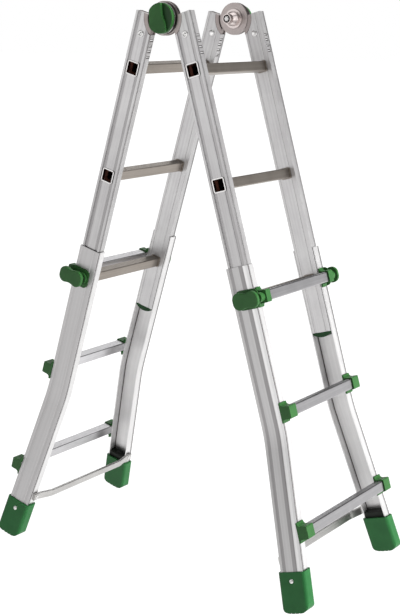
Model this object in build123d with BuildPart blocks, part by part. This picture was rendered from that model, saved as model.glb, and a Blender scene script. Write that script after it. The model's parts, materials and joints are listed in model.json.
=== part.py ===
from build123d import *
import os
from math import cos, degrees, radians, sin, sqrt, tan

# A hinged telescopic ladder that stands as an A. Millimetres and degrees, +Z up, the floor at Z = 0.
# The hinge axis runs along Y above the origin. Half b leans to +X and half a is its mirror image in X.
# Each half has a front side (-Y) and a back side (+Y). Pieces are drawn on the back side of half b.

# The ladder as a whole
lean = 16.0                 # each half from upright
rung_pitch = 280.0          # from rung to rung along a stile
top_rung_drop = 140.0       # hinge axis to the first rung
stile_offset = 52.0         # hinge axis to the stile's centre line, square to the stile
inner_half_width = 172.0    # middle of the ladder to the inner stiles' outer faces

# Inner stile: a hollow extrusion, grooved on its outer and inner faces
inner_depth = 54.0
inner_thickness = 24.0
inner_wall = 2.2
inner_edge_wall = 2.0
inner_top_drop = 2.0        # hinge axis to the top edge
inner_tail = 138.0          # last inner rung to the bottom edge
hinge_relief = 55.0         # radius cut from the stile's top, about the hinge axis
lip_width = 6.0
lip_groove_width = 9.0
lip_groove_depth = 2.6
band_depth = 1.6            # the centre band lies this far below the lips
back_groove_width = 7.0
back_groove_depth = 0.8
back_groove_inset = 7.0     # from the narrow face
edge_line_width = 1.5
edge_line_depth = 0.6
edge_line_inset = 5.5       # from the outer face
stile_corner = 1.0
crimp_count = 4
crimp_pitch = 14.1
crimp_drop = 62.4           # hinge axis to the first crimp
crimp_width = 14.0
crimp_height = 7.0
crimp_depth = 1.6

# Rungs: square tube, the same for both sections; the inner rungs' mouths are expanded in the stiles
rung_size = 25.0
rung_wall = 2.0
rung_corner = 2.5
rung_hole_gap = 0.1
bead_overhang = 2.2         # inside bead, past the tube
bead_thickness = 2.5
mouth_size = 32.0
mouth_wall = 1.5
mouth_corner = 4.0
mouth_straight = 9.0        # from the rim to the taper
mouth_taper = 7.0
rim_overhang = 1.5          # past the mouth

# Outer stile: a U-channel open to the inside, flared near the floor
slide_gap_face = 0.6
slide_gap_edge = 1.0
web_thickness = 2.4
flange_thickness = 3.0
channel_depth = 25.6
outer_head = 81.0           # top edge to the first outer rung
outer_tail = 144.0          # last outer rung to the bottom edge
bend_below_rung = 53.0      # middle outer rung to the bend
flare = 10.5
bend_radius = 300.0
web_lip_width = 7.0
web_groove_width = 10.0
web_groove_depth = 0.8

# Caps on the outer rungs
cap_wall = 3.0
cap_skirt = 3.4             # past the open edge of the channel
cap_gap = 0.15
wing_half_height = 24.5
wing_thickness = 3.5
wing_sweep = 9.0

# Stile lock: a handle with a pin for the inner rung and a guide rod in the outer rung
lock_draw = 11.0            # how far the handle is pulled; it is drawn here
lock_cap_inset = 9.0        # the lock housing's cap ends this far inside the web's face
neck_radius = 12.0          # round the guide rod
sleeve_radius = 15.0        # round the lock pin
neck_rise = 9.0             # neck and sleeve past the web's face
pad_thickness = 3.0
pad_half_height = 24.0
pad_back_reach = 18.0       # from the pin, away from the outer rung
pad_corner = 12.0
pin_radius = 9.0
pin_hole_gap = 0.4
pin_tip_gap = 0.3           # drawn pin to the inner stile
pin_chamfer = 2.5
boss_radius = 6.5
boss_gap = 0.08
boss_overlap = 12.0         # how far the drawn boss stays inside the neck
rod_radius = 4.0
rod_tail = 2.0
washer_radius = 9.5
washer_thickness = 3.0
lock_spring_length = 24.0
lock_spring_radius = 8.2    # to the middle of the wire
lock_spring_wire = 1.8
lock_spring_turns = 5.0
plate_thickness = 9.0
plate_end_reach = 12.5      # past the rod
plate_back_reach = 15.0     # past the pin
plate_half_height = 25.0
waist_half_height = 17.0
plate_corner = 17.0
waist_radius = 26.0
plate_edge = 2.5
lock_seat_gap = 0.5         # locked handle to the housing
bridge_width = 8.0
bridge_thickness = 5.0
moulding_gap = 0.05         # handle to the bolt that it is moulded on

# Plug in the bottom of an inner stile
plug_edge_length = 3.0
plug_crown = 10.0           # the plug's end is round, and longer at its middle
plug_tail = 26.0
plug_gap = 0.3

# Foot
foot_wall = 5.5
foot_corner = 8.5
foot_gap = 0.2
foot_top_drop = 87.0        # last outer rung to the foot's top edge
core_rise = 20.0            # the core stands above the top edge
core_setback = 1.0
sole_depth = 37.0           # bottom of the stile to the sole
sole_crown = 3.0            # the sole is this much lower at its middle than at its sides
sole_corner = 20.0          # the ladder stands on the inward one
sole_flat = 0.5             # cut level where the foot rests
tread_count = 3
tread_pitch = 11.0
tread_width = 2.6
tread_depth = 1.8

# Stabiliser bar
bar_above_foot = 23.5       # bar's middle above the foot's top edge
bar_height = 20.0
bar_thickness = 8.0
bar_stand_off = 9.5
bar_end_length = 20.0
bar_joggle_length = 44.0
bar_joggle_radius = 30.0
bar_end_margin = 10.0       # bar end to the web's outer face
bar_edge = 3.0

# Rivets
rivet_radius = 2.5
rivet_head_radius = 5.5
rivet_head_height = 2.4
rivet_dome = 2.0
rivet_tail = 2.5            # past the sheet that it holds
foot_rivet_drop = 21.0      # below the foot's top edge
hinge_rivet_radius = 4.0
hinge_rivet_head_radius = 8.2
hinge_rivet_drop = 53.0
hinge_rivet_inner_head = 2.2
hinge_rivet_chamfer = 1.2

# Hinge: fork on half a, tongue on half b
cheek_radius = 41.0
cheek_thickness = 4.0
tongue_thickness = 6.0
tongue_inset = 1.0          # the tongue's disc is smaller than the cheeks
hinge_gap = 0.3
spacer_relief = 43.5        # fork's spacer, cut round the tongue
packer_relief = 44.0        # tongue's packers and the flush pads, cut round the cheeks
pad_relief_gap = 0.5        # flush pads to the edge of the stile's relief
shank_gap = 0.5
shank_top_gap = 1.0
shank_end_gap = 2.0         # shank to the first rung's mouth
pivot_radius = 9.0
pivot_gap = 0.05
hinge_rod_radius = 5.0
hinge_rod_gap = 0.08
hinge_draw = 5.0            # how far the knob is pulled; it is drawn here
hinge_lock_gap = 0.2        # locked plate to the cheek
lock_plate_radius = 38.0
lock_plate_thickness = 3.0
hinge_pin_radius = 4.0
hinge_pin_circle = 24.0
hinge_pin_gap = 0.5
hinge_pin_clear = 0.8       # drawn pin tip to the tongue
knob_radius = 36.5
knob_flat = 31.5            # axis to the flat on the knob's side
knob_flat_corner = 12.0
knob_thickness = 11.0
knob_edge = 2.5
knob_rod_depth = 5.0
grip_depth = 9.0            # finger recess, at the knob's middle
grip_rim_depth = 1.5        # the same at its rim
cup_radius = 12.5
cup_bore = 10.0
cup_length = 35.0
cup_base_radius = 25.0
cup_base_height = 3.0
cup_shoulder_radius = 18.0
cup_shoulder_height = 10.0
cup_taper_height = 22.0
nut_radius = 7.0
nut_thickness = 8.0         # flush with the cup's mouth when drawn
hinge_rod_tail = 1.5
hinge_spring_radius = 7.2
hinge_spring_wire = 1.8
hinge_spring_turns = 5.0

# Places that follow from the sizes
inner_half_depth = inner_depth / 2
inner_back = inner_half_width - inner_thickness
inner_end = top_rung_drop + 2 * rung_pitch + inner_tail
inner_rung_drops = [top_rung_drop + step * rung_pitch for step in range(3)]
hollow_outer = inner_half_width - lip_groove_depth - inner_wall
hollow_inner = inner_back + inner_wall
hollow_half_depth = inner_half_depth - inner_edge_wall
web_face = inner_half_width + slide_gap_face
outer_face = web_face + web_thickness
outer_half_depth = inner_half_depth + slide_gap_edge + flange_thickness
lock_drop = inner_rung_drops[-1]
outer_rung_drops = [lock_drop + step * rung_pitch for step in range(3)]
outer_top = lock_drop - outer_head
outer_end = outer_rung_drops[-1] + outer_tail
bend_drop = outer_rung_drops[1] + bend_below_rung
rung_offset = stile_offset + outer_half_depth + rung_size / 2
rung_bore = rung_size - 2 * rung_wall
foot_half_depth = outer_half_depth + foot_wall
sole_drop = outer_end + sole_depth
sole_radius = (foot_half_depth**2 + sole_crown**2) / (2 * sole_crown)
sole_centre = sole_drop - sole_radius
rest_offset = stile_offset - foot_half_depth + sole_corner
rest_drop = sole_centre + sqrt((sole_radius - sole_corner) ** 2 - (foot_half_depth - sole_corner) ** 2)
hinge_height = sole_corner - sole_flat + rest_drop * cos(radians(lean)) - rest_offset * sin(radians(lean))
foot_top = outer_rung_drops[-1] + foot_top_drop
bar_drop = foot_top - bar_above_foot

# Directions of half b: across is square to the stile and outward, down runs along the stile
across = Vector(cos(radians(lean)), 0, sin(radians(lean)))
down = Vector(sin(radians(lean)), 0, -cos(radians(lean)))
hinge_point = Vector(0, 0, hinge_height)
back_side = Vector(0, 1, 0)
flare_down = back_side * sin(radians(flare)) + down * cos(radians(flare))
flare_out = back_side * cos(radians(flare)) - down * sin(radians(flare))


def side_plane(y):
    """A plane square to Y, with x across the stile and y down it."""
    return Plane(origin=(0, y, hinge_height), x_dir=across, z_dir=back_side)


def section_plane(drop):
    """A plane square to the stile, with x across it and y towards the back; it faces up."""
    return Plane(origin=hinge_point + down * drop, x_dir=across, z_dir=-down)


def face_plane(offset):
    """A plane along a narrow face, with x towards the back and y up the stile; it faces outward."""
    return Plane(origin=hinge_point + across * offset, x_dir=back_side, z_dir=across)


def upright_plane(y):
    """A plane square to Y on the hinge axis, with x along X and y downward."""
    return Plane(origin=(0, y, hinge_height), x_dir=(1, 0, 0), z_dir=back_side)


def spread(drop):
    """Middle of the ladder to the outer stile's web face, which flares below the bend."""
    return outer_face + max(0.0, drop - bend_drop) * tan(radians(flare))


def flare_plane(drop):
    """A plane square to the flared stile, its origin on the web face; x across, y out; it faces up."""
    place = hinge_point + across * stile_offset + down * drop + back_side * spread(drop)
    return Plane(origin=place, x_dir=across, z_dir=-flare_down)


def both_sides(points):
    """A stile's whole outline, from the half of it on the outward side of the centre line."""
    outward = [(stile_offset + x, y) for x, y in points]
    inward = [(stile_offset - x, y) for x, y in reversed(points)]
    return outward + inward


def write(piece, name):
    """Labels one piece and writes its file."""
    piece.label = name
    export_step(piece, f"parts/{name}.step")


def mirrored(piece, plane):
    """A mirror image of a piece."""
    with BuildPart() as image:
        mirror(piece, about=plane)
    return image.part


def write_halves(piece, stem):
    """Writes a piece of half b and its image on half a."""
    write(piece, f"{stem}_b")
    write(mirrored(piece, Plane.YZ), f"{stem}_a")


def write_corners(piece, stem):
    """Writes a piece of half b's back side and its three images."""
    front = mirrored(piece, Plane.XZ)
    write(piece, f"{stem}_b_back")
    write(front, f"{stem}_b_front")
    write(mirrored(piece, Plane.YZ), f"{stem}_a_back")
    write(mirrored(front, Plane.YZ), f"{stem}_a_front")


def write_sides(piece, stem):
    """Writes a piece of the hinge's back side and its image on the front side."""
    write(piece, f"{stem}_back")
    write(mirrored(piece, Plane.XZ), f"{stem}_front")


def coil_spring(plane, length, radius, wire, turns):
    """A coil spring that fills the given length from the plane along its normal."""
    rise = length - wire
    start = plane.offset(wire / 2).origin
    with BuildPart() as spring:
        with BuildLine() as path:
            Helix(pitch=rise / turns, height=rise, radius=radius, center=start, direction=plane.z_dir)
        with BuildSketch(Plane(origin=path.line @ 0, z_dir=path.line % 0)):
            Circle(wire / 2)
        sweep(is_frenet=True)
    return spring.part


os.makedirs("parts", exist_ok=True)

# Inner stiles: extruded, relieved round the hinge, pierced for the rungs and crimped on the hinge shanks
band_edge = inner_half_depth - lip_width - lip_groove_width
groove_slope = lip_groove_depth - band_depth
edge_line_top = inner_half_width - edge_line_inset
crimp_radius = (crimp_height**2 / 4 + crimp_depth**2) / (2 * crimp_depth)
crimp_offset = inner_half_depth + crimp_radius - crimp_depth
crimp_start = (inner_back + edge_line_top - edge_line_width - crimp_width) / 2
back_groove_edge = inner_half_depth - back_groove_inset
inner_outline = both_sides([
    (back_groove_edge - back_groove_width, inner_back),
    (back_groove_edge - back_groove_width, inner_back + back_groove_depth),
    (back_groove_edge, inner_back + back_groove_depth),
    (back_groove_edge, inner_back),
    (inner_half_depth, inner_back),
    (inner_half_depth, edge_line_top - edge_line_width),
    (inner_half_depth - edge_line_depth, edge_line_top - edge_line_width),
    (inner_half_depth - edge_line_depth, edge_line_top),
    (inner_half_depth, edge_line_top),
    (inner_half_depth, inner_half_width),
    (inner_half_depth - lip_width, inner_half_width),
    (inner_half_depth - lip_width - groove_slope, inner_half_width - lip_groove_depth),
    (band_edge + groove_slope, inner_half_width - lip_groove_depth),
    (band_edge, inner_half_width - band_depth),
])
with BuildPart() as inner_stile:
    with BuildSketch(section_plane(inner_end)) as inner_section:
        with BuildLine():
            Polyline(*inner_outline, close=True)
        make_face()
        fillet(
            inner_section.vertices().filter_by(
                lambda corner: abs(abs(corner.X - stile_offset) - inner_half_depth) < 0.01
                and min(abs(corner.Y - inner_back), abs(corner.Y - inner_half_width)) < 0.01
            ),
            stile_corner,
        )
        with Locations((stile_offset, (hollow_outer + hollow_inner) / 2)):
            Rectangle(2 * hollow_half_depth, hollow_outer - hollow_inner, mode=Mode.SUBTRACT)
    extrude(amount=inner_end - inner_top_drop)
    with BuildSketch(side_plane(inner_back)):
        Circle(hinge_relief)
    extrude(amount=inner_thickness, mode=Mode.SUBTRACT)
    rung_places = [(stile_offset, drop) for drop in inner_rung_drops]
    with BuildSketch(side_plane(inner_back)):
        with Locations(*rung_places):
            RectangleRounded(rung_size + 2 * rung_hole_gap, rung_size + 2 * rung_hole_gap, rung_corner)
        with Locations((stile_offset, hinge_rivet_drop)):
            Circle(hinge_rivet_radius)
    extrude(amount=inner_thickness, mode=Mode.SUBTRACT)
    with BuildSketch(side_plane(hollow_outer)):
        with Locations(*rung_places):
            RectangleRounded(mouth_size + 2 * rung_hole_gap, mouth_size + 2 * rung_hole_gap, mouth_corner)
    extrude(amount=inner_half_width - hollow_outer, mode=Mode.SUBTRACT)
    with BuildSketch(side_plane(crimp_start)):
        with Locations((stile_offset + crimp_offset, crimp_drop), (stile_offset - crimp_offset, crimp_drop)):
            with Locations(*[(0, step * crimp_pitch) for step in range(crimp_count)]):
                Circle(crimp_radius)
    extrude(amount=crimp_width, mode=Mode.SUBTRACT)
write_corners(inner_stile.part, "inner_stile")

# Inner rungs: tubes through both stiles, beaded on the inside, with expanded mouths rolled over the outside
bead_size = rung_size + 2 * bead_overhang
mouth_bore = mouth_size - 2 * mouth_wall
rim_size = mouth_size + 2 * rim_overhang
mouth_start = inner_half_width - mouth_straight
taper_start = mouth_start - mouth_taper


def rung_section(y, drop, size, corner):
    """A square section of the inner rung at the given drop."""
    with BuildSketch(side_plane(y)) as section:
        with Locations((stile_offset, drop)):
            RectangleRounded(size, size, corner)
    return section.sketch


for number, drop in enumerate(inner_rung_drops, start=1):
    with BuildPart() as inner_rung:
        extrude(rung_section(-mouth_start, drop, rung_size, rung_corner), amount=2 * mouth_start)
        for side in (1, -1):
            tube_end = rung_section(side * taper_start, drop, rung_size, rung_corner)
            mouth = rung_section(side * mouth_start, drop, mouth_size, mouth_corner)
            rim = rung_section(side * inner_half_width, drop, rim_size, mouth_corner + rim_overhang)
            bead = rung_section(side * inner_back, drop, bead_size, rung_corner + bead_overhang)
            loft([tube_end, mouth], ruled=True)
            extrude(mouth, amount=side * mouth_straight)
            extrude(rim, amount=-side * band_depth)
            extrude(bead, amount=-side * bead_thickness)
        tube_bore = rung_section(-mouth_start, drop, rung_bore, rung_corner - rung_wall)
        extrude(tube_bore, amount=2 * mouth_start, mode=Mode.SUBTRACT)
        for side in (1, -1):
            bore_end = rung_section(side * taper_start, drop, rung_bore, rung_corner - rung_wall)
            bore_mouth = rung_section(side * mouth_start, drop, mouth_bore, mouth_corner - mouth_wall)
            loft([bore_end, bore_mouth], ruled=True, mode=Mode.SUBTRACT)
            extrude(bore_mouth, amount=side * mouth_straight, mode=Mode.SUBTRACT)
    write_halves(inner_rung.part, f"inner_rung_{number}")

# Plugs that close the bottom of the inner stiles and guide them in the channels
with BuildPart() as plug:
    with BuildSketch(side_plane(inner_back)):
        with BuildLine():
            Polyline(
                (stile_offset - inner_half_depth, inner_end + plug_edge_length),
                (stile_offset - inner_half_depth, inner_end),
                (stile_offset + inner_half_depth, inner_end),
                (stile_offset + inner_half_depth, inner_end + plug_edge_length),
            )
            ThreePointArc(
                (stile_offset + inner_half_depth, inner_end + plug_edge_length),
                (stile_offset, inner_end + plug_edge_length + plug_crown),
                (stile_offset - inner_half_depth, inner_end + plug_edge_length),
            )
        make_face()
    extrude(amount=inner_thickness)
    with BuildSketch(section_plane(inner_end)):
        with Locations((stile_offset, (hollow_inner + hollow_outer) / 2)):
            Rectangle(2 * (hollow_half_depth - plug_gap), hollow_outer - hollow_inner - 2 * plug_gap)
    extrude(amount=plug_tail)
with BuildPart() as inner_end_plugs:
    add(plug.part)
    mirror(plug.part, about=Plane.XZ)
write_halves(inner_end_plugs.part, "inner_end_plugs")

# Outer stiles: one channel section swept down the straight stile and out along the flare
channel_inside = outer_half_depth - flange_thickness
flange_end = outer_face - channel_depth
web_groove_edge = outer_half_depth - web_lip_width
outer_outline = both_sides([
    (channel_inside, web_face),
    (channel_inside, flange_end),
    (outer_half_depth, flange_end),
    (outer_half_depth, outer_face - edge_line_inset - edge_line_width),
    (outer_half_depth - edge_line_depth, outer_face - edge_line_inset - edge_line_width),
    (outer_half_depth - edge_line_depth, outer_face - edge_line_inset),
    (outer_half_depth, outer_face - edge_line_inset),
    (outer_half_depth, outer_face),
    (web_groove_edge, outer_face),
    (web_groove_edge - web_groove_depth, outer_face - web_groove_depth),
    (web_groove_edge - web_groove_width + web_groove_depth, outer_face - web_groove_depth),
    (web_groove_edge - web_groove_width, outer_face),
])
bar_rivet_y = spread(bar_drop) - bar_end_margin - bar_end_length / 2
foot_rivet_plane = Plane(
    origin=flare_plane(foot_top + foot_rivet_drop).origin, x_dir=across, z_dir=flare_out
)
bar_rivet_plane = face_plane(stile_offset - outer_half_depth)
with BuildPart() as outer_stile:
    with BuildLine(Plane(origin=hinge_point + across * stile_offset, x_dir=back_side, z_dir=-across)):
        FilletPolyline(
            (outer_face, outer_top),
            (outer_face, bend_drop),
            (spread(outer_end), outer_end),
            radius=bend_radius,
        )
    with BuildSketch(section_plane(outer_top)) as outer_section:
        with BuildLine():
            Polyline(*outer_outline, close=True)
        make_face()
        fillet(
            outer_section.vertices().filter_by(
                lambda corner: abs(abs(corner.X - stile_offset) - outer_half_depth) < 0.01
                and abs(corner.Y - outer_face) < 0.01
            ),
            stile_corner,
        )
    sweep()
    with BuildSketch(side_plane(inner_half_width)):
        with Locations((stile_offset, lock_drop)):
            Circle(pin_radius + pin_hole_gap)
    extrude(amount=outer_face - inner_half_width, mode=Mode.SUBTRACT)
    with BuildSketch(foot_rivet_plane):
        Circle(rivet_radius)
    extrude(amount=-channel_depth / 2, mode=Mode.SUBTRACT)
    with BuildSketch(bar_rivet_plane):
        with Locations((bar_rivet_y, -bar_drop)):
            Circle(rivet_radius)
    extrude(amount=channel_inside, mode=Mode.SUBTRACT)
write_corners(outer_stile.part, "outer_stile")

# Outer rungs: tubes across the front faces of the outer stiles, each as long as its caps allow
cap_ends = [outer_face - lock_cap_inset] + [spread(drop) + cap_wall for drop in outer_rung_drops[1:]]
for number, (drop, cap_end) in enumerate(zip(outer_rung_drops, cap_ends), start=1):
    with BuildPart() as outer_rung:
        with BuildSketch(side_plane(cap_wall - cap_end)):
            with Locations((rung_offset, drop)):
                RectangleRounded(rung_size, rung_size, rung_corner)
                Rectangle(rung_bore, rung_bore, mode=Mode.SUBTRACT)
        extrude(amount=2 * (cap_end - cap_wall))
    write_halves(outer_rung.part, f"outer_rung_{number}")

# Rung caps: a closed socket for the tube, with wings that curve out along the stile
cap_back = stile_offset + outer_half_depth
cap_front = rung_offset + rung_size / 2 + cap_wall
cap_half_height = rung_size / 2 + cap_wall


def rung_cap(drop, cap_end):
    """The cap on the back end of the outer rung at the given drop."""
    pocket = rung_size / 2 + cap_gap
    cap_start = spread(drop) - channel_depth - cap_skirt
    with BuildPart() as cap:
        with BuildSketch(side_plane(cap_start)):
            for side in (1, -1):
                with BuildLine():
                    Polyline(
                        (cap_back + wing_thickness + wing_sweep, drop + side * cap_half_height),
                        (cap_front, drop + side * cap_half_height),
                        (cap_front, drop),
                        (cap_back, drop),
                        (cap_back, drop + side * wing_half_height),
                        (cap_back + wing_thickness, drop + side * wing_half_height),
                    )
                    Bezier(
                        (cap_back + wing_thickness, drop + side * wing_half_height),
                        (cap_back + wing_thickness, drop + side * cap_half_height),
                        (cap_back + wing_thickness + wing_sweep, drop + side * cap_half_height),
                    )
                make_face()
        extrude(amount=cap_end - cap_start)
        fillet(
            cap.edges().filter_by(Axis.Y).group_by(Axis(hinge_point, across))[-1],
            cap_wall,
        )
        with BuildSketch(side_plane(cap_start)):
            with Locations((cap_back, drop)):
                Rectangle(rung_size + cap_gap, 2 * pocket, align=(Align.MIN, Align.CENTER))
        extrude(amount=cap_end - cap_wall - cap_start, mode=Mode.SUBTRACT)
    return cap.part


lower_caps = [rung_cap(drop, cap_end) for drop, cap_end in zip(outer_rung_drops[1:], cap_ends[1:])]
with BuildPart() as rung_caps:
    for cap_piece in lower_caps:
        add(cap_piece)
        mirror(cap_piece, about=Plane.XZ)
write_halves(rung_caps.part, "rung_caps")

# Lock housings: the cap of the first outer rung, a neck for the handle's boss, a pad and sleeve for the pin
lock_cap = rung_cap(lock_drop, cap_ends[0])
spring_seat = cap_ends[0] - cap_wall
neck_end = outer_face + neck_rise
with BuildPart() as lock_housing:
    add(lock_cap)
    with BuildSketch(side_plane(cap_ends[0])):
        with Locations((rung_offset, lock_drop)):
            Circle(neck_radius)
    extrude(amount=neck_end - cap_ends[0])
    with BuildSketch(side_plane(outer_face)):
        with Locations(((stile_offset - pad_back_reach + rung_offset) / 2, lock_drop)):
            RectangleRounded(rung_offset - stile_offset + pad_back_reach, 2 * pad_half_height, pad_corner)
    extrude(amount=pad_thickness)
    with BuildSketch(side_plane(outer_face)):
        with Locations((stile_offset, lock_drop)):
            Circle(sleeve_radius)
    extrude(amount=neck_rise)
    with BuildSketch(side_plane(outer_face)):
        with Locations((stile_offset, lock_drop)):
            Circle(pin_radius + pin_hole_gap)
    extrude(amount=neck_rise, mode=Mode.SUBTRACT)
    with BuildSketch(side_plane(spring_seat)):
        with Locations((rung_offset, lock_drop)):
            Circle(boss_radius + boss_gap)
    extrude(amount=neck_end - spring_seat, mode=Mode.SUBTRACT)
write_corners(lock_housing.part, "lock_housing")

# Lock bolts: pin, bridge and guide rod in one piece, with a washer that holds the spring
plate_back = neck_end + lock_seat_gap + lock_draw
pin_tip = inner_half_width + pin_tip_gap
bolt_head = plate_back + bridge_thickness
washer_face = spring_seat - lock_spring_length
rod_end = washer_face - washer_thickness - rod_tail
with BuildPart() as lock_bolt:
    with BuildSketch(side_plane(pin_tip)):
        with Locations((stile_offset, lock_drop)):
            Circle(pin_radius)
    extrude(amount=bolt_head - pin_tip)
    chamfer(lock_bolt.edges().filter_by(GeomType.CIRCLE).sort_by(Axis.Y)[0], pin_chamfer)
    with BuildSketch(side_plane(rod_end)):
        with Locations((rung_offset, lock_drop)):
            Circle(rod_radius)
    extrude(amount=bolt_head - rod_end)
    with BuildSketch(side_plane(plate_back)):
        with Locations(((stile_offset + rung_offset) / 2, lock_drop)):
            Rectangle(rung_offset - stile_offset, bridge_width)
    extrude(amount=bridge_thickness)
    with BuildSketch(side_plane(washer_face)):
        with Locations((rung_offset, lock_drop)):
            Circle(washer_radius)
    extrude(amount=-washer_thickness)
write_corners(lock_bolt.part, "lock_bolt")

# Lock handles: waisted plates moulded over the bolt, with a boss round the guide rod
boss_end = neck_end - boss_overlap
waist = (stile_offset + rung_offset) / 2
plate_start = stile_offset - plate_back_reach
plate_stop = rung_offset + plate_end_reach
with BuildPart() as lock_handle:
    with BuildSketch(side_plane(plate_back)) as plate_outline:
        with BuildLine():
            Polyline(
                (plate_start, lock_drop + plate_half_height),
                (waist, lock_drop + waist_half_height),
                (plate_stop, lock_drop + plate_half_height),
                (plate_stop, lock_drop - plate_half_height),
                (waist, lock_drop - waist_half_height),
                (plate_start, lock_drop - plate_half_height),
                close=True,
            )
        make_face()
        fillet(plate_outline.vertices().group_by(Axis.X)[1], waist_radius)
        fillet(plate_outline.vertices().group_by(Axis.X)[0], plate_corner)
        fillet(plate_outline.vertices().group_by(Axis.X)[-1], plate_corner)
    extrude(amount=plate_thickness)
    fillet(lock_handle.faces().sort_by(Axis.Y)[-1].edges(), plate_edge)
    with BuildSketch(side_plane(plate_back)):
        with Locations((rung_offset, lock_drop)):
            Circle(boss_radius)
    extrude(amount=boss_end - plate_back)
    with BuildSketch(side_plane(bolt_head + moulding_gap)):
        with Locations((stile_offset, lock_drop)):
            Circle(pin_radius + moulding_gap)
        with Locations((rung_offset, lock_drop)):
            Circle(rod_radius + moulding_gap)
    extrude(amount=boss_end - bolt_head - moulding_gap, mode=Mode.SUBTRACT)
    with BuildSketch(side_plane(bolt_head + moulding_gap)):
        with Locations((waist, lock_drop)):
            Rectangle(rung_offset - stile_offset, bridge_width + 2 * moulding_gap)
    extrude(amount=-bridge_thickness - moulding_gap, mode=Mode.SUBTRACT)
write_corners(lock_handle.part, "lock_handle")

# Lock springs: round the guide rods, between the housing and the washer
lock_spring = coil_spring(
    Plane(
        origin=hinge_point + across * rung_offset + down * lock_drop + back_side * washer_face,
        x_dir=across,
        z_dir=back_side,
    ),
    lock_spring_length,
    lock_spring_radius,
    lock_spring_wire,
    lock_spring_turns,
)
write_corners(lock_spring, "lock_spring")

# Feet: shoes on the flared stile ends with a core in the channel and a grooved sole with round corners
foot_inner = channel_depth + foot_wall
sole_corner_drop = sole_drop - sole_crown
foot_reach = sole_drop - foot_top + core_rise
foot_rivet_grip = foot_wall + web_thickness + rivet_tail
tread_step = degrees(tread_pitch / sole_radius)
tread_angles = [90 + tread_step * (step - (tread_count - 1) / 2) for step in range(tread_count)]
core_depth = channel_depth - core_setback - web_thickness - foot_gap
with BuildPart() as foot:
    with BuildSketch(flare_plane(foot_top)):
        with Locations((0, (foot_wall - foot_inner) / 2)):
            RectangleRounded(2 * foot_half_depth, foot_wall + foot_inner, foot_corner)
    extrude(amount=2 * foot_reach, both=True)
    with BuildSketch(side_plane(0)) as foot_outline:
        with BuildLine():
            Polyline(
                (stile_offset - foot_half_depth, sole_corner_drop),
                (stile_offset - foot_half_depth, foot_top),
                (stile_offset + foot_half_depth, foot_top),
                (stile_offset + foot_half_depth, sole_corner_drop),
            )
            ThreePointArc(
                (stile_offset + foot_half_depth, sole_corner_drop),
                (stile_offset, sole_drop),
                (stile_offset - foot_half_depth, sole_corner_drop),
            )
        make_face()
        fillet(foot_outline.vertices().group_by(Axis.Y)[-1], sole_corner)
    extrude(amount=2 * spread(sole_drop), mode=Mode.INTERSECT)
    with BuildSketch(flare_plane(outer_end)):
        with Locations((0, core_setback - channel_depth + core_depth / 2)):
            Rectangle(2 * (channel_inside - foot_gap), core_depth)
    extrude(amount=(outer_end - foot_top + core_rise) / cos(radians(flare)))
    with BuildSketch(flare_plane(outer_end).offset(-foot_gap)):
        with Locations((0, -channel_depth / 2)):
            Rectangle(2 * (outer_half_depth + foot_gap), channel_depth + 2 * foot_gap)
        with Locations((0, -web_thickness - foot_gap)):
            Rectangle(
                2 * (channel_inside - foot_gap),
                2 * channel_depth,
                align=(Align.CENTER, Align.MAX),
                mode=Mode.SUBTRACT,
            )
    extrude(amount=foot_reach, mode=Mode.SUBTRACT)
    with BuildSketch(foot_rivet_plane.offset(foot_wall)):
        Circle(rivet_radius)
    extrude(amount=-foot_rivet_grip, mode=Mode.SUBTRACT)
    with BuildSketch(side_plane(0)):
        with Locations((stile_offset, sole_centre)):
            for angle in tread_angles:
                with PolarLocations(sole_radius, 1, start_angle=angle):
                    Rectangle(2 * tread_depth, tread_width)
    extrude(amount=2 * spread(sole_drop), mode=Mode.SUBTRACT)
    split(bisect_by=Plane.XY, keep=Keep.TOP)
write_corners(foot.part, "foot")

# Stabiliser bars: joggled at both ends to lie on the stiles' narrow faces
bar_end_offset = stile_offset - outer_half_depth - bar_thickness / 2
bar_middle_offset = bar_end_offset - bar_stand_off
bar_end = spread(bar_drop) - bar_end_margin
bar_flat = bar_end - bar_end_length
bar_straight = bar_flat - bar_joggle_length
with BuildPart() as stabiliser_bar:
    with BuildLine(section_plane(bar_drop)):
        FilletPolyline(
            (bar_end_offset, bar_end),
            (bar_end_offset, bar_flat),
            (bar_middle_offset, bar_straight),
            (bar_middle_offset, -bar_straight),
            (bar_end_offset, -bar_flat),
            (bar_end_offset, -bar_end),
            radius=bar_joggle_radius,
        )
    with BuildSketch(side_plane(bar_end)):
        with Locations((bar_end_offset, bar_drop)):
            RectangleRounded(bar_thickness, bar_height, bar_edge)
    sweep()
    with BuildSketch(bar_rivet_plane):
        with Locations((bar_rivet_y, -bar_drop), (-bar_rivet_y, -bar_drop)):
            Circle(rivet_radius)
    extrude(amount=-bar_thickness, mode=Mode.SUBTRACT)
write_halves(stabiliser_bar.part, "stabiliser_bar")

# Rivets of the feet and of the bar


def rivet(seat, grip):
    """A rivet whose head sits on the given plane."""
    with BuildPart() as piece:
        with BuildSketch(seat):
            Circle(rivet_radius)
        extrude(amount=-grip)
        with BuildSketch(seat):
            Circle(rivet_head_radius)
        extrude(amount=rivet_head_height)
        rims = piece.edges().filter_by(GeomType.CIRCLE)
        fillet(rims.sort_by(Axis(seat.origin, seat.z_dir))[-1], rivet_dome)
    return piece.part


foot_rivet = rivet(foot_rivet_plane.offset(foot_wall), foot_rivet_grip)
bar_rivet_place = bar_rivet_plane.origin + back_side * bar_rivet_y + down * bar_drop - across * bar_thickness
bar_rivet = rivet(
    Plane(origin=bar_rivet_place, x_dir=back_side, z_dir=-across),
    bar_thickness + flange_thickness,
)
with BuildPart() as outer_rivets:
    for rivet_piece in (foot_rivet, bar_rivet):
        add(rivet_piece)
        mirror(rivet_piece, about=Plane.XZ)
write_halves(outer_rivets.part, "outer_rivets")

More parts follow.
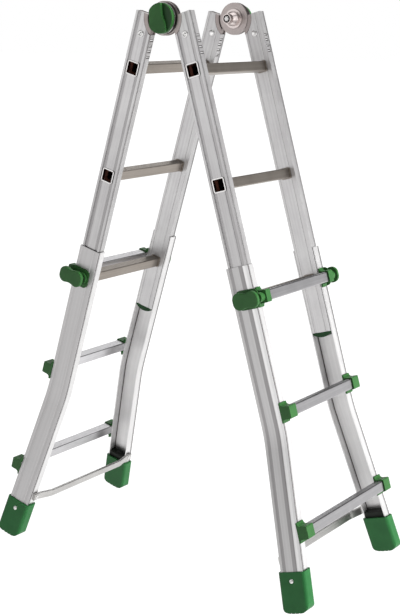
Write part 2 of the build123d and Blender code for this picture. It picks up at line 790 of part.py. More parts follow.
# Hinge rivets: through the inner stiles and the shanks, low enough outside for the channels to pass
with BuildPart() as hinge_rivet:
    with BuildSketch(side_plane(inner_back)):
        with Locations((stile_offset, hinge_rivet_drop)):
            Circle(hinge_rivet_radius)
    extrude(amount=inner_thickness - band_depth)
    with BuildSketch(side_plane(inner_half_width - band_depth)):
        with Locations((stile_offset, hinge_rivet_drop)):
            Circle(hinge_rivet_head_radius)
    extrude(amount=band_depth)
    with BuildSketch(side_plane(inner_back)):
        with Locations((stile_offset, hinge_rivet_drop)):
            Circle(hinge_rivet_head_radius)
    extrude(amount=-hinge_rivet_inner_head)
    chamfer(hinge_rivet.faces().sort_by(Axis.Y)[-1].edges(), hinge_rivet_chamfer)
    chamfer(hinge_rivet.faces().sort_by(Axis.Y)[0].edges(), hinge_rivet_chamfer)
with BuildPart() as hinge_rivets:
    add(hinge_rivet.part)
    mirror(hinge_rivet.part, about=Plane.XZ)
write_halves(hinge_rivets.part, "hinge_rivets")

# Hinge forks, on half a: two round cheeks, a spacer in the stile, the pivot tube and the spring cup
hinge_middle = (hollow_inner + hollow_outer) / 2
tongue_start = hinge_middle - tongue_thickness / 2
tongue_stop = hinge_middle + tongue_thickness / 2
fork_start = tongue_start - hinge_gap - cheek_thickness
fork_stop = tongue_stop + hinge_gap + cheek_thickness
shank_half_depth = hollow_half_depth - shank_gap
shank_top = inner_top_drop + shank_top_gap
shank_length = top_rung_drop - mouth_size / 2 - shank_end_gap - shank_top
shank_middle = shank_top + shank_length / 2
pin_turn = 2 * lean
pads = [(fork_start, inner_back - fork_start), (fork_stop, inner_half_width - band_depth - fork_stop)]


def flush_pad(start):
    """The crescent on a hinge plate that fills the relief in the stile's top."""
    with BuildSketch(side_plane(start)) as crescent:
        with Locations((stile_offset, shank_top)):
            Rectangle(inner_depth, hinge_relief, align=(Align.CENTER, Align.MIN))
        Circle(hinge_relief - pad_relief_gap, mode=Mode.INTERSECT)
        Circle(packer_relief, mode=Mode.SUBTRACT)
    return crescent.sketch


with BuildPart() as hinge_fork:
    for cheek_start in (fork_start, tongue_stop + hinge_gap):
        with BuildSketch(side_plane(cheek_start)):
            Circle(cheek_radius)
            with Locations((stile_offset, shank_middle)):
                Rectangle(2 * shank_half_depth, shank_length)
        extrude(amount=cheek_thickness)
    with BuildSketch(side_plane(tongue_start - hinge_gap)):
        with Locations((stile_offset, shank_middle)):
            Rectangle(2 * shank_half_depth, shank_length)
        Circle(spacer_relief, mode=Mode.SUBTRACT)
    extrude(amount=tongue_thickness + 2 * hinge_gap)
    for pad_start, pad_rise in pads:
        extrude(flush_pad(pad_start), amount=pad_rise)
    with BuildSketch(side_plane(fork_start)):
        Circle(pivot_radius)
    extrude(amount=fork_stop - fork_start)
    with BuildSketch(Plane(origin=(0, fork_start, hinge_height), x_dir=across, z_dir=down)):
        with BuildLine():
            Polyline(
                (cup_bore, 0),
                (cup_base_radius, 0),
                (cup_base_radius, cup_base_height),
                (cup_shoulder_radius, cup_base_height),
                (cup_shoulder_radius, cup_shoulder_height),
                (cup_radius, cup_taper_height),
                (cup_radius, cup_length),
                (cup_bore, cup_length),
                close=True,
            )
        make_face()
    revolve(axis=Axis(hinge_point, back_side))
    with BuildSketch(side_plane(fork_start)):
        Circle(hinge_rod_radius + hinge_rod_gap)
        with Locations((stile_offset, hinge_rivet_drop)):
            Circle(hinge_rivet_radius)
    extrude(amount=fork_stop - fork_start, mode=Mode.SUBTRACT)
    with BuildSketch(upright_plane(tongue_stop + hinge_gap)):
        with PolarLocations(hinge_pin_circle, 2, start_angle=90):
            Circle(hinge_pin_radius + hinge_pin_gap)
    extrude(amount=cheek_thickness, mode=Mode.SUBTRACT)
write_sides(mirrored(hinge_fork.part, Plane.YZ), "hinge_fork")

# Hinge tongues, on half b: a plate between the cheeks, holed for the standing, folded and straight ladder
with BuildPart() as hinge_tongue:
    with BuildSketch(side_plane(tongue_start)):
        Circle(cheek_radius - tongue_inset)
        with Locations((stile_offset, shank_middle)):
            Rectangle(2 * shank_half_depth, shank_length)
    extrude(amount=tongue_thickness)
    for packer_start in (fork_start, tongue_stop):
        with BuildSketch(side_plane(packer_start)):
            with Locations((stile_offset, shank_middle)):
                Rectangle(2 * shank_half_depth, shank_length)
            Circle(packer_relief, mode=Mode.SUBTRACT)
        extrude(amount=cheek_thickness + hinge_gap)
    for pad_start, pad_rise in pads:
        extrude(flush_pad(pad_start), amount=pad_rise)
    with BuildSketch(side_plane(fork_start)):
        with Locations((stile_offset, hinge_rivet_drop)):
            Circle(hinge_rivet_radius)
        Circle(pivot_radius + pivot_gap)
    extrude(amount=fork_stop - fork_start, mode=Mode.SUBTRACT)
    with BuildSketch(upright_plane(tongue_start)):
        with PolarLocations(hinge_pin_circle, 2, start_angle=90):
            Circle(hinge_pin_radius + hinge_pin_gap)
        with PolarLocations(hinge_pin_circle, 2, start_angle=90 - pin_turn):
            Circle(hinge_pin_radius + hinge_pin_gap)
    extrude(amount=tongue_thickness, mode=Mode.SUBTRACT)
write_sides(hinge_tongue.part, "hinge_tongue")

# Hinge bolts: a lock plate with two pins on a rod that runs through the pivot to a nut in the cup
plate_seat = fork_stop + hinge_lock_gap + hinge_draw
pin_end = tongue_stop + hinge_pin_clear
nut_start = fork_start - cup_length
knob_seat = plate_seat + lock_plate_thickness
with BuildPart() as hinge_bolt:
    with BuildSketch(upright_plane(plate_seat)):
        Circle(lock_plate_radius)
    extrude(amount=lock_plate_thickness)
    with BuildSketch(upright_plane(plate_seat)):
        with PolarLocations(hinge_pin_circle, 2, start_angle=90):
            Circle(hinge_pin_radius)
    extrude(amount=pin_end - plate_seat)
    with BuildSketch(upright_plane(nut_start - hinge_rod_tail)):
        Circle(hinge_rod_radius)
    extrude(amount=knob_seat + knob_rod_depth - nut_start + hinge_rod_tail)
    with BuildSketch(upright_plane(nut_start)):
        RegularPolygon(nut_radius, 6)
    extrude(amount=nut_thickness)
write_sides(hinge_bolt.part, "hinge_bolt")

# Hinge knobs: round with one flat side, and a finger recess that ends in an S-shaped step
ridge_points = [
    (knob_radius * along_x, knob_radius * along_z)
    for along_x, along_z in ((0.06, -1.1), (0.14, -0.55), (0.24, -0.1), (0.42, 0.25), (0.5, 0.6), (0.44, 1.1))
]
knob_face = knob_seat + knob_thickness
with BuildPart() as grip_recess:
    with BuildSketch(upright_plane(knob_face)):
        with BuildLine():
            Spline(*ridge_points)
            Polyline(
                ridge_points[-1],
                (2 * knob_radius, ridge_points[-1][1]),
                (2 * knob_radius, ridge_points[0][1]),
                ridge_points[0],
            )
        make_face()
    extrude(amount=-grip_depth)
    with BuildSketch(Plane(origin=(0, knob_face, hinge_height), x_dir=(1, 0, 0), z_dir=(0, 0, 1))):
        with BuildLine():
            Polyline(
                (0, 0),
                (0, -grip_depth),
                (knob_radius, -grip_rim_depth),
                (2 * knob_radius, -grip_rim_depth),
                (2 * knob_radius, 0),
                close=True,
            )
        make_face()
    extrude(amount=2 * knob_radius, both=True, mode=Mode.INTERSECT)
with BuildPart() as hinge_knob:
    with BuildSketch(upright_plane(knob_seat)) as knob_outline:
        Circle(knob_radius)
        with Locations((-knob_flat, 0)):
            Rectangle(knob_radius, 2 * knob_radius, align=(Align.MAX, Align.CENTER), mode=Mode.SUBTRACT)
        fillet(knob_outline.vertices().group_by(Axis.X)[0], knob_flat_corner)
    extrude(amount=knob_thickness)
    add(grip_recess.part, mode=Mode.SUBTRACT)
    fillet(hinge_knob.faces().sort_by(Axis.Y)[-1].edges(), knob_edge)
    with BuildSketch(upright_plane(knob_seat)):
        Circle(hinge_rod_radius + moulding_gap)
    extrude(amount=knob_rod_depth + moulding_gap, mode=Mode.SUBTRACT)
write_sides(hinge_knob.part, "hinge_knob")

# Hinge springs: in the cups, between the cheek and the nut
hinge_spring = coil_spring(
    upright_plane(nut_start + nut_thickness),
    cup_length - nut_thickness,
    hinge_spring_radius,
    hinge_spring_wire,
    hinge_spring_turns,
)
write_sides(hinge_spring, "hinge_spring")
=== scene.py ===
import json
import math

import bmesh
import bpy
from mathutils import Matrix, Vector


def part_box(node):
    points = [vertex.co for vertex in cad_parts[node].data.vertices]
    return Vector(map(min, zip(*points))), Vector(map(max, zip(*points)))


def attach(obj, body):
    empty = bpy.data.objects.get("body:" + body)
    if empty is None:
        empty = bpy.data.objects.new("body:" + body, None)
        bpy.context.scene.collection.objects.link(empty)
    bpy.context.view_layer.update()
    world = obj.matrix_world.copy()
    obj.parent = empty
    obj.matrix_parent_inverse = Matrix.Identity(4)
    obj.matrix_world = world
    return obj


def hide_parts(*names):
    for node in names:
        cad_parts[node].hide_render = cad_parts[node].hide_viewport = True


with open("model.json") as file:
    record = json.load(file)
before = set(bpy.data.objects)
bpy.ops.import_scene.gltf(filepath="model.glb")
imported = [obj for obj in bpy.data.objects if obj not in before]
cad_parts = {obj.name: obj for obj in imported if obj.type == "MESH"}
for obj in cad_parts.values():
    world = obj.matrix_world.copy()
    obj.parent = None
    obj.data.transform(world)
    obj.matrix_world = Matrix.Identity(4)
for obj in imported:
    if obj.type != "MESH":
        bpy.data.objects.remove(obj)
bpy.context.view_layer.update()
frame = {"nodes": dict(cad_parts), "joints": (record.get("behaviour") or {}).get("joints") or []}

# Inner stiles: straight hollow extrusions of mill aluminium, grooved along their faces, the top ends crimped
# on the hinges. The die leaves fine lines, which spread reflections sideways. Painted shade greys the grooves
# and lines the corners, and the crimps get painted highlights and shade. Sizes are in millimetres.
joints = {joint["name"]: joint for joint in frame["joints"]}
hinge_height = joints["fold"]["pos_m"][2]
slide_axis = joints["telescope_a"]["axis"]
lean = math.atan2(slide_axis[0], slide_axis[2])
halves = {"a": -1, "b": 1}
sides = {"front": -1, "back": 1}
MM = 1000.0
DIE_LINE = 1.1          # across one die line; drawn coarser than real so that it shows
DIE_STREAK = 5.5        # across a band of paler or duller metal
STREAK_LENGTH = 420.0
SMUDGE = 55.0
ARRIS = 0.0006          # metres; how far the light rounds an extruded edge
SHADE_AND_FILM_TONE = "#6c6869"   # painted shade on aluminium, and the tone of its grey film
GROOVE_SOFT = 4.0
LINE_SOFT = 0.4
LIP_SOFT = 0.5
LIT_LIP_SHARE = 0.3        # how much of the painted face shade is left where a painted reflection lightens the lip
FLUTE_SHADE = {"a": 0.42, "b": 0.28}       # painted shade in the grooves; half b is lit more, so it gets less
CREVICE = 0.004         # metres; how near another surface has to be for painted shade to collect
OPEN_CORNER, DEEP_GAP = 0.7, 0.2        # share of the surroundings in sight where painted shade starts and is full
SPREAD = 0.8            # how much wider the reflections are across the die lines than along them
DIE_BUMP, DIE_DEPTH = 0.06, 0.0003      # how strongly die lines catch the light, and their depth in metres
SUM_MIDDLE, SUM_MOST = (0.75, 1.25), (0.7, 1.3)     # where two noises added up lie often, and nearly always
OFF_AXIS = 0.02         # leaves end faces, which lie square to the die lines, a way across them
stile_offset = 52.0     # hinge axis to the stiles' centre line
inner_shade_bands = ((-23.0, -10.0), (10.0, 23.0))       # painted shade bands over the grooves, from the centre line
edge_start = 26.0                   # the narrow faces lie beyond this, from the centre line
inner_edge_lines = ((164.8, 166.2, 0.66), (167.4, 170.3, 0.66))     # painted shade lines along the corners: from, to and darkness; from the middle
outer_face_start = 164.0                  # the grooved outer face lies beyond this, from the middle
stile_lines = (math.sin(lean), OFF_AXIS, -math.cos(lean))


def linear(hex_colour):
    """An sRGB hex colour as the linear RGBA that the shaders take."""
    channels = [int(hex_colour[place:place + 2], 16) / 255 for place in (1, 3, 5)]
    return [c / 12.92 if c <= 0.04045 else ((c + 0.055) / 1.055) ** 2.4 for c in channels] + [1.0]


def add(tree, kind, inputs=(), **settings):
    """Adds one node with its settings; each input is a value or another node's output."""
    made = tree.nodes.new(kind)
    for name, value in settings.items():
        setattr(made, name, value)
    for socket, value in dict(inputs).items():
        if isinstance(value, bpy.types.NodeSocket):
            tree.links.new(value, made.inputs[socket])
        else:
            made.inputs[socket].default_value = value
    return made


def new_material(name, colour):
    """A material of one plain colour: its tree and its shader, which is already linked to the output."""
    material = bpy.data.materials.new(name)
    material.use_nodes = True
    shader = material.node_tree.nodes["Principled BSDF"]
    shader.inputs["Base Color"].default_value = linear(colour)
    return material, material.node_tree, shader


def tint(material, factor, tone):
    """Lays a tone over the colour that a material has so far."""
    tree = material.node_tree
    colour = tree.nodes["Principled BSDF"].inputs["Base Color"]
    below = colour.links[0].from_socket if colour.is_linked else list(colour.default_value)
    mixed = add(tree, "ShaderNodeMix", {"Factor": factor, 6: below, 7: linear(tone)}, data_type="RGBA")
    tree.links.new(mixed.outputs[2], colour)


def ladder_space(tree):
    """Object coordinates in millimetres, turned along the stiles of either half: x across, y aside, z up."""
    place = add(tree, "ShaderNodeTexCoord")
    folded = add(tree, "ShaderNodeVectorMath", {0: place.outputs["Object"]}, operation="ABSOLUTE")
    turned = add(tree, "ShaderNodeMapping", {
        "Vector": folded.outputs[0],
        "Location": (-MM * hinge_height * math.sin(lean), 0, -MM * hinge_height * math.cos(lean)),
        "Rotation": (0, lean, 0),
        "Scale": (MM, MM, MM),
    })
    return turned.outputs["Vector"]


def grain(tree, vector, sizes, detail=2.0):
    """Noise whose marks have the given sizes in millimetres along x, y and z."""
    scaled = add(tree, "ShaderNodeMapping", {"Vector": vector, "Scale": [1 / size for size in sizes]})
    return add(tree, "ShaderNodeTexNoise", {
        "Vector": scaled.outputs["Vector"], "Scale": 1.0, "Detail": detail, "Roughness": 0.55,
    }).outputs["Fac"]


def within(tree, value, start, stop, soft):
    """1 where a value lies between two limits, falling to 0 over a soft edge."""
    rise = add(tree, "ShaderNodeMapRange", {
        "Value": value, "From Min": start, "From Max": start + soft,
    }, interpolation_type="SMOOTHSTEP").outputs["Result"]
    fall = add(tree, "ShaderNodeMapRange", {
        "Value": value, "From Min": stop, "From Max": stop - soft,
    }, interpolation_type="SMOOTHSTEP").outputs["Result"]
    return add(tree, "ShaderNodeMath", {0: rise, 1: fall}, operation="MULTIPLY").outputs[0]


def painted_stile_shade(
    tree, vector, shade_bands, edge_lines, darkness, shade_start, face, face_shading=0.0, lit_lip=0.0,
):
    """Painted shade on a stile's outside: bands over the grooves, the face, and lines along the corners, less
    on a lip lit by a painted reflection.
    """
    place = add(tree, "ShaderNodeSeparateXYZ", {0: vector})
    off_centre = add(tree, "ShaderNodeMath", {0: place.outputs[0], 1: stile_offset}, operation="SUBTRACT")
    apart = add(tree, "ShaderNodeMath", {0: off_centre.outputs[0]}, operation="ABSOLUTE").outputs[0]
    band_shade = add(tree, "ShaderNodeMath", {
        0: within(tree, off_centre.outputs[0], *shade_bands[0], GROOVE_SOFT),
        1: within(tree, off_centre.outputs[0], *shade_bands[1], GROOVE_SOFT),
    }, operation="MAXIMUM").outputs[0]
    outside = add(tree, "ShaderNodeMath", {0: place.outputs[1], 1: shade_start}, operation="GREATER_THAN")
    band_shade = add(tree, "ShaderNodeMath", {0: band_shade, 1: outside.outputs[0]}, operation="MULTIPLY").outputs[0]
    band_shade = add(tree, "ShaderNodeMath", {0: band_shade, 1: darkness}, operation="MULTIPLY").outputs[0]
    on_edge = add(tree, "ShaderNodeMath", {0: apart, 1: edge_start}, operation="GREATER_THAN")
    on_face = add(tree, "ShaderNodeMath", {0: place.outputs[1], 1: face}, operation="GREATER_THAN")
    lip_unlit = add(tree, "ShaderNodeMapRange", {
        "Value": off_centre.outputs[0], "From Min": lit_lip, "From Max": lit_lip + LIP_SOFT,
        "To Min": 1.0, "To Max": LIT_LIP_SHARE,
    }).outputs["Result"]
    skin_grain_and_face_shade = add(tree, "ShaderNodeMath", {0: on_face.outputs[0], 1: face_shading}, operation="MULTIPLY").outputs[0]
    skin_grain_and_face_shade = add(tree, "ShaderNodeMath", {0: skin_grain_and_face_shade, 1: lip_unlit}, operation="MULTIPLY").outputs[0]
    painted_shade = add(tree, "ShaderNodeMath", {0: band_shade, 1: skin_grain_and_face_shade}, operation="MAXIMUM").outputs[0]
    for start, stop, shade in edge_lines:
        line = within(tree, place.outputs[1], start, stop, LINE_SOFT)
        line = add(tree, "ShaderNodeMath", {0: line, 1: shade}, operation="MULTIPLY").outputs[0]
        line = add(tree, "ShaderNodeMath", {0: line, 1: on_edge.outputs[0]}, operation="MULTIPLY").outputs[0]
        painted_shade = add(tree, "ShaderNodeMath", {0: painted_shade, 1: line}, operation="MAXIMUM").outputs[0]
    return painted_shade


def crevice_shade(tree, darkness, reach=CREVICE):
    """Painted shade: 0 in the open, rising in narrow gaps and inside corners."""
    room = add(tree, "ShaderNodeAmbientOcclusion", {"Distance": reach}, samples=8)
    return add(tree, "ShaderNodeMapRange", {
        "Value": room.outputs["AO"], "From Min": OPEN_CORNER, "From Max": DEEP_GAP, "To Max": darkness,
    }).outputs["Result"]


def across_lines(tree, lines):
    """The way in the surface square to the die lines, which is how drawn metal spreads a reflection."""
    place = add(tree, "ShaderNodeTexCoord")
    sideways = add(tree, "ShaderNodeSeparateXYZ", {0: place.outputs["Object"]})
    half = add(tree, "ShaderNodeMath", {0: sideways.outputs[0]}, operation="SIGN")
    slant = add(tree, "ShaderNodeMath", {0: half.outputs[0], 1: lines[0]}, operation="MULTIPLY")
    along = add(tree, "ShaderNodeCombineXYZ", {0: slant.outputs[0], 1: lines[1], 2: lines[2]})
    turned = add(tree, "ShaderNodeVectorTransform", {0: along.outputs[0]}, vector_type="VECTOR")
    surface = add(tree, "ShaderNodeNewGeometry")
    return add(tree, "ShaderNodeVectorMath", {
        0: surface.outputs["Normal"], 1: turned.outputs[0],
    }, operation="CROSS_PRODUCT").outputs[0]


def drawn_aluminium(name, vector_of, lines, sizes, colours, roughness, grooves=None):
    """Aluminium pulled or pushed through a die: bands of duller metal, fine lines, handling smudges."""
    dull, bright = colours
    material, tree, shader = new_material(name, dull)
    vector = vector_of(tree)
    streak_sizes, line_sizes = sizes
    streaks = grain(tree, vector, streak_sizes, detail=3.0)
    fine = grain(tree, vector, line_sizes)
    smudges = grain(tree, vector, (SMUDGE, SMUDGE, SMUDGE), detail=4.0)
    wear = add(tree, "ShaderNodeMath", {0: streaks, 1: smudges}, operation="ADD")
    clean = add(tree, "ShaderNodeMapRange", {
        "Value": wear.outputs[0], "From Min": SUM_MIDDLE[0], "From Max": SUM_MIDDLE[1],
    })
    tint(material, clean.outputs["Result"], bright)
    if grooves:
        # painted shade in the grooves, over the web face and along the corners
        tint(material, painted_stile_shade(tree, vector, **grooves), SHADE_AND_FILM_TONE)
    # painted shade in gaps and inside corners
    tint(material, crevice_shade(tree, darkness=0.85), "#262220")
    patches = add(tree, "ShaderNodeMath", {0: fine, 1: smudges}, operation="ADD")
    rough = add(tree, "ShaderNodeMapRange", {
        "Value": patches.outputs[0], "From Min": SUM_MOST[0], "From Max": SUM_MOST[1],
        "To Min": roughness[0], "To Max": roughness[1],
    })
    edge = add(tree, "ShaderNodeBevel", {"Radius": ARRIS}, samples=4)
    bump = add(tree, "ShaderNodeBump", {
        "Height": fine, "Strength": DIE_BUMP, "Distance": DIE_DEPTH, "Normal": edge.outputs["Normal"],
    })
    for socket, value in (
        ("Roughness", rough.outputs["Result"]),
        ("Normal", bump.outputs["Normal"]),
        ("Tangent", across_lines(tree, lines)),
    ):
        tree.links.new(value, shader.inputs[socket])
    shader.inputs["Metallic"].default_value = 1.0
    shader.inputs["Anisotropic"].default_value = SPREAD
    return material


def dress(material, *names):
    """Gives CAD nodes, which keep their own shape, a finish."""
    for name in names:
        for place in frame["nodes"][name].material_slots:
            place.material = material


along_stile = (
    (DIE_STREAK, DIE_STREAK, STREAK_LENGTH),
    (DIE_LINE, DIE_LINE, STREAK_LENGTH / 2),
)
crimp_start, crimp_end = -113.0, -55.0          # down the stile
crimp_sides = (149.5, 163.5)                    # from the middle of the ladder
crimp_rim, crimp_floor = 26.9, 25.4             # from the centre line
CRIMP_SOFT = 0.3
CRIMP_HIGHLIGHT = 0.9
film_start, film_end = -220.0, -430.0           # down the stile
rubbed_face = 168.4                             # the film lies beyond this, from the middle
FILM = 0.24
# The same metal on both halves; half b's copy is lighter as painted light, as that half is lit more.
lit_stile_colours = {"a": ("#bfbdbe", "#d1d0d0"), "b": ("#cac8c9", "#dcdbdb")}


def paint_crimp_highlights_and_shade(material):
    """Paints highlights on the pressed floors of the crimps at the top of a stile and shade on their walls.
    """
    tree = material.node_tree
    place = add(tree, "ShaderNodeSeparateXYZ", {0: ladder_space(tree)})
    across = add(tree, "ShaderNodeMath", {0: place.outputs[0], 1: stile_offset}, operation="SUBTRACT")
    reach = add(tree, "ShaderNodeMath", {0: across.outputs[0]}, operation="ABSOLUTE")
    walls = within(tree, reach.outputs[0], crimp_floor, crimp_rim, CRIMP_SOFT)
    floors = add(tree, "ShaderNodeMapRange", {
        "Value": reach.outputs[0], "From Min": crimp_floor + CRIMP_SOFT, "From Max": crimp_floor,
        "To Max": CRIMP_HIGHLIGHT,
    }).outputs["Result"]
    for shade, tone in ((walls, "#4a4444"), (floors, "#ffffff")):
        for limit in (
            within(tree, place.outputs[2], crimp_start, crimp_end, soft=1.0),
            within(tree, place.outputs[1], *crimp_sides, soft=1.0),
        ):
            shade = add(tree, "ShaderNodeMath", {0: shade, 1: limit}, operation="MULTIPLY").outputs[0]
        tint(material, shade, tone)


def dull_downwards(material):
    """Adds the grey film that sliding in the channels leaves low down on a stile's outer face."""
    tree = material.node_tree
    place = add(tree, "ShaderNodeSeparateXYZ", {0: ladder_space(tree)})
    low_down = add(tree, "ShaderNodeMapRange", {
        "Value": place.outputs[2], "From Min": film_start, "From Max": film_end, "To Max": FILM,
    })
    rubbed = add(tree, "ShaderNodeMath", {0: place.outputs[1], 1: rubbed_face}, operation="GREATER_THAN")
    film_and_shade = add(tree, "ShaderNodeMath", {
        0: low_down.outputs["Result"], 1: rubbed.outputs[0],
    }, operation="MULTIPLY")
    tint(material, film_and_shade.outputs[0], SHADE_AND_FILM_TONE)


for half in halves:
    stile_finish = drawn_aluminium(
        f"mill_aluminium_extruded_{half}", ladder_space, stile_lines, along_stile, lit_stile_colours[half],
        roughness=(0.42, 0.5),
        grooves={
            "shade_bands": inner_shade_bands, "edge_lines": inner_edge_lines, "darkness": FLUTE_SHADE[half],
            "shade_start": outer_face_start, "face": outer_face_start,
        },
    )
    paint_crimp_highlights_and_shade(stile_finish)
    dull_downwards(stile_finish)
    dress(stile_finish, *[f"inner_stile_{half}_{side}" for side in sides])

# Rungs: square aluminium tube, drawn rather than extruded, so smoother and darker to the eye than the stiles.
# The inner ones run through their stiles and are expanded and rolled over there; painted shade darkens them
# inside and a painted highlight lights their rolled rims. Low ribs along the top of every rung keep a shoe
# from slipping.
first_rung = 140.0
rung_pitch = 280.0
rung_size = 25.0
rung_offset = 95.5          # hinge axis to the outer rungs, which lie in front of their stiles
bore_half, mouth_half = 10.6, 14.6
bore_end, mouth_start = 156.0, 163.0
rib_edge, rib_top = (9.8, 12.6), 11.4     # painted shadow lines beside the ribs, from the rung's middle
DRAW_STREAK = 4.0
DRAW_LENGTH = 300.0
RIB_COUNT = 6
RIB_PITCH = 3.6
RIB_RADIUS = 0.9
RIB_SIDES = 10
RIB_SUNK = 0.55             # the ribs' centre below the rung's top
RIB_EDGE_SOFT, RIB_EDGE_SHADE = 0.6, 0.6
rung_lines = (OFF_AXIS, 1.0, OFF_AXIS)
along_rung = ((DRAW_STREAK, DRAW_LENGTH, DRAW_STREAK), (DIE_LINE, DRAW_LENGTH, DIE_LINE))
rung_finish = drawn_aluminium(
    "mill_aluminium_drawn_tube", ladder_space, rung_lines, along_rung, ("#958d85", "#a59d95"),
    roughness=(0.34, 0.42),
)
# The same tube on both halves; the copies differ as painted light and shade.
lit_outer_rung_colours = {"a": ("#cccbcd", "#dcdbdd"), "b": ("#b4b3b5", "#c6c5c7")}
outer_rung_finish = {
    half: drawn_aluminium(
        f"mill_aluminium_bright_tube_{half}", ladder_space, rung_lines, along_rung, colours,
        roughness=(0.3, 0.38),
    )
    for half, colours in lit_outer_rung_colours.items()
}


def rung_space(tree, offset):
    """Places round the middle of the nearest rung: millimetres across, aside and up."""
    place = add(tree, "ShaderNodeSeparateXYZ", {0: ladder_space(tree)})
    across = add(tree, "ShaderNodeMath", {0: place.outputs[0], 1: offset}, operation="SUBTRACT")
    apart = add(tree, "ShaderNodeMath", {0: across.outputs[0]}, operation="ABSOLUTE")
    step = add(tree, "ShaderNodeMath", {0: place.outputs[2], 1: -first_rung}, operation="SUBTRACT")
    up = add(tree, "ShaderNodeMath", {
        0: step.outputs[0], 1: -rung_pitch / 2, 2: rung_pitch / 2,
    }, operation="WRAP")
    return apart.outputs[0], place.outputs[1], up.outputs[0]


def paint_bore_shade_and_rim_highlight(material):
    """Paints shade inside the tubes, which get no light, and a highlight on their rolled rims."""
    tree = material.node_tree
    apart, aside, up = rung_space(tree, stile_offset)
    height = add(tree, "ShaderNodeMath", {0: up}, operation="ABSOLUTE")
    reach = add(tree, "ShaderNodeMath", {0: apart, 1: height.outputs[0]}, operation="MAXIMUM")
    wall = add(tree, "ShaderNodeMapRange", {
        "Value": aside, "From Min": bore_end, "From Max": mouth_start,
        "To Min": bore_half, "To Max": mouth_half,
    })
    inside = add(tree, "ShaderNodeMath", {0: reach.outputs[0], 1: wall.outputs[0]}, operation="LESS_THAN")
    rolled = add(tree, "ShaderNodeMath", {0: aside, 1: mouth_start}, operation="GREATER_THAN")
    # painted highlight on the rolled rims, then painted shade inside
    tint(material, rolled.outputs[0], "#e4e2e1")
    tint(material, inside.outputs[0], "#8a6f66")


def paint_rib_edge_shadow(material):
    """Paints a shadow line along both edges of the ribbed top."""
    tree = material.node_tree
    apart, _, up = rung_space(tree, rung_offset)
    on_top = add(tree, "ShaderNodeMath", {0: up, 1: rib_top}, operation="GREATER_THAN")
    line = within(tree, apart, *rib_edge, RIB_EDGE_SOFT)
    shade = add(tree, "ShaderNodeMath", {0: line, 1: on_top.outputs[0]}, operation="MULTIPLY")
    shade = add(tree, "ShaderNodeMath", {0: shade.outputs[0], 1: RIB_EDGE_SHADE}, operation="MULTIPLY")
    tint(material, shade.outputs[0], "#3c3c3f")


paint_bore_shade_and_rim_highlight(rung_finish)
for half in halves:
    paint_rib_edge_shadow(outer_rung_finish[half])
rung_numbers = (1, 2, 3)
dress(rung_finish, *[f"inner_rung_{number}_{half}" for number in rung_numbers for half in halves])
for half in halves:
    dress(outer_rung_finish[half], *[f"outer_rung_{number}_{half}" for number in rung_numbers])


def spot(half, across, aside, drop):
    """A place on one half in the frame's metres, from millimetres across, aside of and down its stiles."""
    outward = drop * math.sin(lean) + across * math.cos(lean)
    upward = across * math.sin(lean) - drop * math.cos(lean)
    return Vector((halves[half] * outward / MM, aside / MM, hinge_height + upward / MM))


def new_tree(name, **inputs):
    """A Geometry Nodes tree with its named inputs; gives the tree and its input node."""
    tree = bpy.data.node_groups.new(name, "GeometryNodeTree")
    tree.interface.new_socket("Geometry", in_out="INPUT", socket_type="NodeSocketGeometry")
    for label, kind in inputs.items():
        tree.interface.new_socket(label, in_out="INPUT", socket_type=f"NodeSocket{kind}")
    tree.interface.new_socket("Geometry", in_out="OUTPUT", socket_type="NodeSocketGeometry")
    return tree, add(tree, "NodeGroupInput").outputs


def close_tree(tree, instances, material):
    """Ends a tree: instances made real, smooth and dressed."""
    real = add(tree, "GeometryNodeRealizeInstances", {"Geometry": instances})
    smooth = add(tree, "GeometryNodeSetShadeSmooth", {"Geometry": real.outputs[0]})
    dressed = add(tree, "GeometryNodeSetMaterial", {"Geometry": smooth.outputs[0], "Material": material})
    add(tree, "NodeGroupOutput", {"Geometry": dressed.outputs[0]})


def grow(name, tree, places, vectors, sizes):
    """Runs a tree on a list of places, each with its own vector, and keeps the result as a plain mesh."""
    points = bpy.data.meshes.new(name)
    points.from_pydata(places, [], [])
    points.attributes.new("own_vector", "FLOAT_VECTOR", "POINT")
    for entry, vector in zip(points.attributes["own_vector"].data, vectors):
        entry.vector = vector
    piece = bpy.data.objects.new(name, points)
    bpy.context.scene.collection.objects.link(piece)
    growth = piece.modifiers.new("growth", "NODES")
    growth.node_group = tree
    for entry in tree.interface.items_tree:
        if entry.in_out == "INPUT" and entry.name in sizes:
            growth[entry.identifier] = sizes[entry.name]
    evaluated = piece.evaluated_get(bpy.context.evaluated_depsgraph_get())
    grown = bpy.data.meshes.new_from_object(evaluated)
    piece.modifiers.remove(growth)
    piece.data = grown
    solid = bmesh.new()
    solid.from_mesh(grown)
    bmesh.ops.recalc_face_normals(solid, faces=solid.faces)
    solid.to_mesh(grown)
    solid.free()
    return piece


rib_tree, rib_input = new_tree(
    "tread_ribs", Count="Int", Pitch="Float", Radius="Float", Turn="Float", Finish="Material",
)
rib_line = add(rib_tree, "GeometryNodeCurvePrimitiveLine", {"Start": (0, -1, 0), "End": (0, 1, 0)})
rib_round = add(rib_tree, "GeometryNodeCurvePrimitiveCircle", {
    "Resolution": RIB_SIDES, "Radius": rib_input["Radius"],
})
rib_bar = add(rib_tree, "GeometryNodeCurveToMesh", {
    "Curve": rib_line.outputs[0], "Profile Curve": rib_round.outputs[0], "Fill Caps": True,
})
rib_steps = add(rib_tree, "ShaderNodeMath", {0: rib_input["Count"], 1: 1.0}, operation="SUBTRACT")
rib_span = add(rib_tree, "ShaderNodeMath", {
    0: rib_steps.outputs[0], 1: rib_input["Pitch"],
}, operation="MULTIPLY")
rib_first = add(rib_tree, "ShaderNodeMath", {0: rib_span.outputs[0], 1: -0.5}, operation="MULTIPLY")
